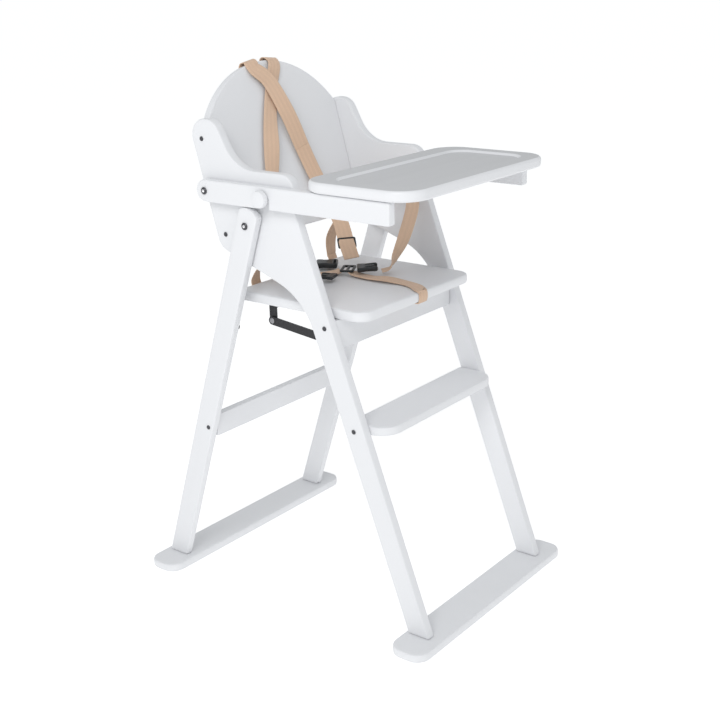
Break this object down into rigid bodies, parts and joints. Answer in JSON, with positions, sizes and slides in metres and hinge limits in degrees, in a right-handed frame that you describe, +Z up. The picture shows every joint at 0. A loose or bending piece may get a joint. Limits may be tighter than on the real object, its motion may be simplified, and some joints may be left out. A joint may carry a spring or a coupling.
{
  "type": "folding high chair",
  "caption": "Folding wooden baby high chair with a swing-over tray on side arms, arched backrest, footrest, folding seat and webbing harness.",
  "frame": {"origin": "bottom centre of the bounding box, on the floor between the four legs", "axes": "+Z up, the chair faces -Y, left is -X as seen by someone standing in front"},
  "size_m": [0.511, 0.628, 0.9378],
  "materials": {
    "white_paint": "satin white paint on solid wood, softly rounded edges",
    "black_steel": "black coated steel strip",
    "dark_steel": "dark blackened steel fasteners",
    "webbing": "beige woven harness webbing",
    "black_plastic": "black moulded harness buckles"
  },
  "bodies": {
    "front_frame": {"side_panel_left": "white_paint", "side_panel_right": "white_paint", "arm_knob_left": "white_paint", "arm_knob_right": "white_paint", "apron_link_ear_left": "black_steel", "apron_link_ear_right": "black_steel", "apron_rivet_left": "dark_steel", "apron_rivet_right": "dark_steel", "backrest_screw_upper_left": "dark_steel", "backrest_screw_upper_right": "dark_steel", "backrest_screw_lower_left": "dark_steel", "backrest_screw_lower_right": "dark_steel", "apron_screw_left": "dark_steel", "apron_screw_right": "dark_steel", "footrest_screw_left": "dark_steel", "footrest_screw_right": "dark_steel", "arm_bolt_left": "dark_steel", "arm_bolt_right": "dark_steel", "fold_bolt_left": "dark_steel", "fold_bolt_right": "dark_steel", "shoulder_strap_left": "webbing", "shoulder_strap_right": "webbing", "front_foot_board": "white_paint", "seat_apron": "white_paint", "footrest": "white_paint", "backrest": "white_paint"},
    "rear_frame": {"rear_leg_left": "white_paint", "rear_leg_right": "white_paint", "rail_screw_left": "dark_steel", "rail_screw_right": "dark_steel", "seat_pivot_left": "black_steel", "seat_pivot_right": "black_steel", "rear_foot_board": "white_paint", "rear_rail": "white_paint"},
    "seat": {"seat_board": "white_paint", "seat_hinge_plate_left": "black_steel", "seat_hinge_plate_right": "black_steel", "seat_link_ear_left": "black_steel", "seat_link_ear_right": "black_steel", "buckle_tongue_left": "black_plastic", "buckle_tongue_right": "black_plastic", "waist_strap_left": "webbing", "waist_strap_right": "webbing", "strap_slide_left": "black_plastic", "strap_slide_right": "black_plastic", "crotch_strap": "webbing", "buckle_body": "black_plastic", "buckle_lock": "black_plastic"},
    "links": {"link_bar_left": "black_steel", "link_bar_right": "black_steel", "link_rivet_left": "dark_steel", "link_rivet_right": "dark_steel"},
    "tray": {"tray": "white_paint", "tray_arm_left": "white_paint", "tray_arm_right": "white_paint"}
  },
  "joints": [
    {"name": "fold", "type": "hinge", "parent": "front_frame", "child": "rear_frame", "pos_m": [0, 0.0581, 0.6835], "axis": [-1, 0, 0], "range_deg": [0, 38], "deforming": ["shoulder_strap_left", "shoulder_strap_right"]},
    {"name": "seat_lift", "type": "hinge", "parent": "rear_frame", "child": "seat", "pos_m": [0, 0.134, 0.488], "axis": [-1, 0, 0], "range_deg": [0, 55.05], "deforming": ["waist_strap_right"]},
    {"name": "link_swing", "type": "hinge", "parent": "front_frame", "child": "links", "pos_m": [0, -0.056, 0.5], "axis": [1, 0, 0], "range_deg": [0, 33.25]},
    {"name": "tray_swing", "type": "hinge", "parent": "front_frame", "child": "tray", "pos_m": [0, 0.1466, 0.73425], "axis": [-1, 0, 0], "range_deg": [0, 250]}
  ],
  "couplings": [
    {"joint": "seat_lift", "follows": "fold", "ratio": 1.4477},
    {"joint": "link_swing", "follows": "fold", "ratio": 0.87447}
  ]
}
